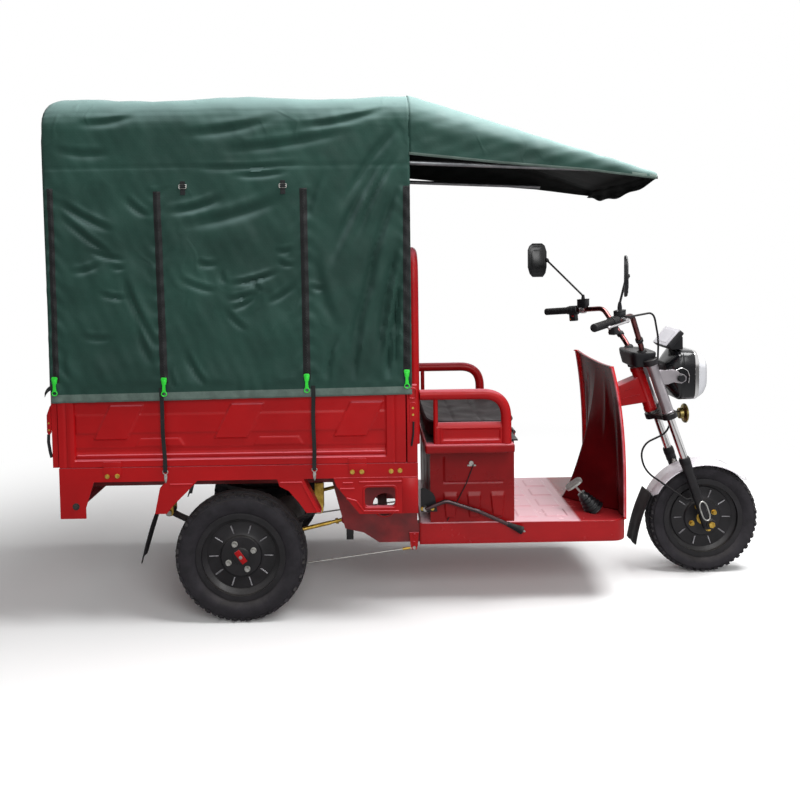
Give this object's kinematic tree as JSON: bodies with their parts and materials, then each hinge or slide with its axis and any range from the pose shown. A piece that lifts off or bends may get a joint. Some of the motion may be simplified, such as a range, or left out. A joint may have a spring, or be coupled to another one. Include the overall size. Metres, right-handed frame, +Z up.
{
  "type": "cargo auto rickshaw",
  "caption": "Electric cargo three-wheeler with a drop-tail load bed, a canvas canopy over it and a visor over the driver's seat",
  "frame": {"origin": "centre of the footprint on the ground, half way along the length and on the mid plane", "axes": "+X forward along the vehicle, +Y to its left, +Z up; the ground is Z = 0"},
  "size_m": [2.853, 0.9606, 2],
  "materials": {
    "battery_case": "matte",
    "black_plastic": "satin",
    "black_steel": "satin",
    "bow_tube": "satin",
    "canvas": "matte",
    "frame_paint": "satin",
    "lamp_lens": "gloss",
    "polished": "polished",
    "red_lens": "gloss",
    "red_paint": "gloss",
    "rubber": "matte",
    "seat_steel": "satin",
    "seat_vinyl": "gloss",
    "tyre_rubber": "matte",
    "webbing": "matte"
  },
  "bodies": {
    "chassis": {"axle_links": "black_steel", "backrest_hoop": "red_paint", "battery": "battery_case", "battery_box": "red_paint", "brake_pedal": "black_steel", "canopy_bows": "bow_tube", "canopy_front_curtain": "canvas", "canopy_rear_curtain": "canvas", "canopy_roof": "canvas", "canopy_side_left": "canvas", "canopy_side_right": "canvas", "canopy_visor": "canvas", "chassis_rails": "frame_paint", "cross_members": "frame_paint", "deck": "red_paint", "fender_brackets": "red_paint", "floor_pan": "red_paint", "front_panels": "red_paint", "headboard": "red_paint", "leaf_springs": "black_steel", "leg_shield": "red_paint", "neck_frame": "red_paint", "parking_brake": "black_steel", "pedal_boot": "rubber", "rear_axle": "black_steel", "rear_lamp_panel": "red_paint", "rear_mud_flaps": "rubber", "seat_frame": "red_paint", "side_gate_left": "red_paint", "side_gate_right": "red_paint", "tail_lamps": "red_lens", "tie_straps": "webbing"},
    "steering": {"fork_legs": "polished", "fork_clamps": "black_steel", "fork_shrouds": "polished", "handlebar": "black_steel", "grips": "rubber", "hand_controls": "black_plastic", "mirrors": "black_plastic", "steering_cover": "black_plastic", "headlamp_body": "black_plastic", "headlamp_lens": "lamp_lens", "dash": "black_plastic", "horn": "polished", "front_fender": "polished", "front_mud_flap": "rubber", "front_brake_hose": "rubber"},
    "front_wheel": {"front_tyre": "tyre_rubber", "front_rim": "black_steel"},
    "rear_wheel_right": {"rear_tyre_right": "tyre_rubber", "rear_rim_right": "black_steel"},
    "rear_wheel_left": {"rear_tyre_left": "tyre_rubber", "rear_rim_left": "black_steel"},
    "tailgate": {"tailgate": "red_paint"},
    "seat_lid": {"seat_pan": "seat_steel", "seat_cushion": "seat_vinyl"}
  },
  "joints": [
    {"name": "steering", "type": "hinge", "parent": "chassis", "child": "steering", "pos_m": [0.94039, 0, 0.8], "axis": [-0.3289, 0, 0.9444], "range_deg": [-40, 40]},
    {"name": "front_wheel_spin", "type": "hinge", "parent": "steering", "child": "front_wheel", "pos_m": [1.1915, 0, 0.235], "axis": [0, 1, 0], "continuous": true},
    {"name": "rear_wheel_right_spin", "type": "hinge", "parent": "chassis", "child": "rear_wheel_right", "pos_m": [-0.7255, -0.4, 0.249], "axis": [0, 1, 0], "continuous": true},
    {"name": "rear_wheel_left_spin", "type": "hinge", "parent": "chassis", "child": "rear_wheel_left", "pos_m": [-0.7255, 0.4, 0.249], "axis": [0, 1, 0], "continuous": true},
    {"name": "tailgate_drop", "type": "hinge", "parent": "chassis", "child": "tailgate", "pos_m": [-1.4095, 0, 0.601], "axis": [0, -1, 0], "range_deg": [0, 175]},
    {"name": "seat_lid_lift", "type": "hinge", "parent": "chassis", "child": "seat_lid", "pos_m": [0.3485, 0, 0.662], "axis": [0, 1, 0], "range_deg": [0, 70]}
  ]
}
